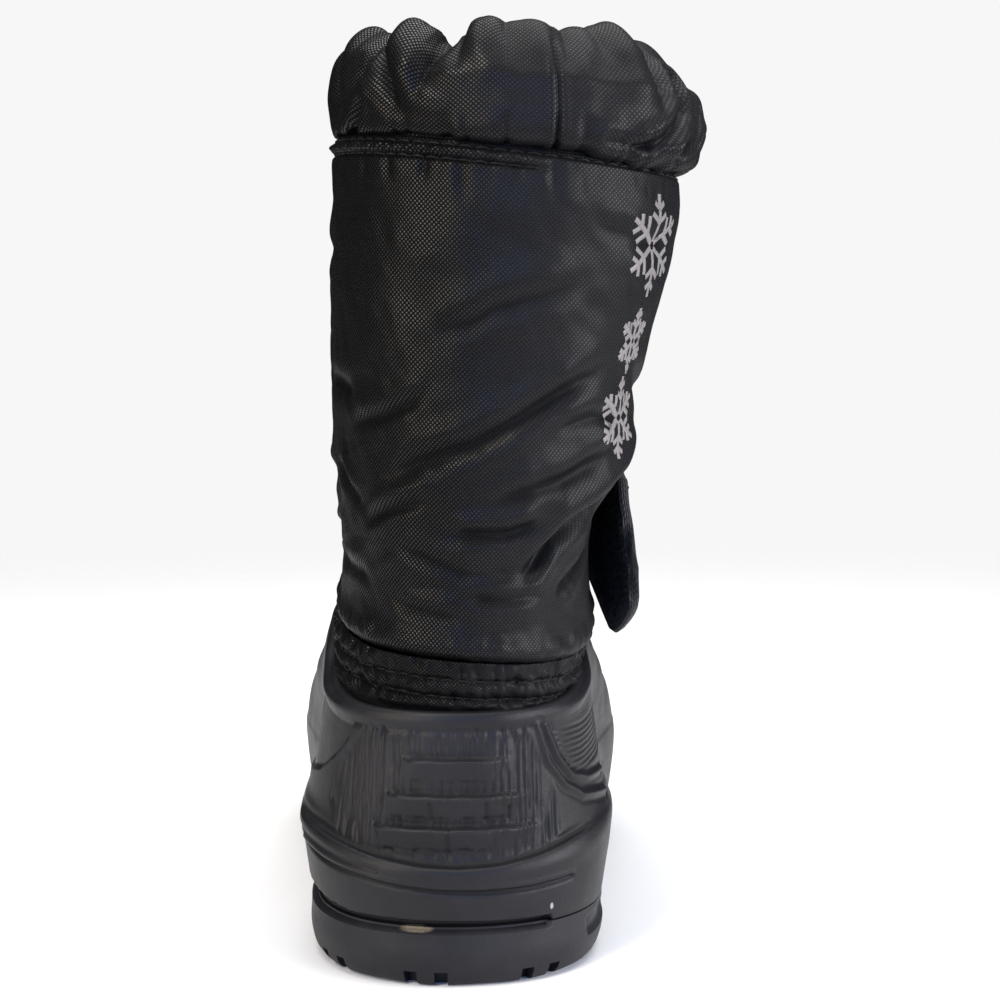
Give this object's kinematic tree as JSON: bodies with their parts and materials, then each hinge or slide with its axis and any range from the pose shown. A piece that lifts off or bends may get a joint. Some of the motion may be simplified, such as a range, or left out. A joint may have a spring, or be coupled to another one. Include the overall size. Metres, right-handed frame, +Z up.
{
  "type": "snow boot",
  "caption": "Child's right snow boot: moulded rubber shell and lugged outsole, padded nylon shaft, gathered snow collar with a pull cord, and a hook-and-loop ankle strap.",
  "frame": {"origin": "on the floor under the middle of the heel, on the flat rest of the heel", "axes": "+Y from the heel to the toe, +X to the outer (lateral) side of the foot, +Z up"},
  "size_m": [0.1016, 0.2019, 0.2154],
  "materials": {
    "outsole_rubber": "matte",
    "shell_rubber": "satin",
    "band_nylon": "matte",
    "shaft_nylon": "satin",
    "collar_nylon": "satin",
    "strap_webbing": "matte",
    "insole_felt": "matte",
    "cord_elastic": "matte"
  },
  "bodies": {
    "root": {"outsole": "outsole_rubber", "shell": "shell_rubber", "band": "band_nylon", "shaft": "shaft_nylon", "collar": "collar_nylon", "strap": "strap_webbing", "insole": "insole_felt", "pull_cord": "cord_elastic"}
  },
  "joints": []
}
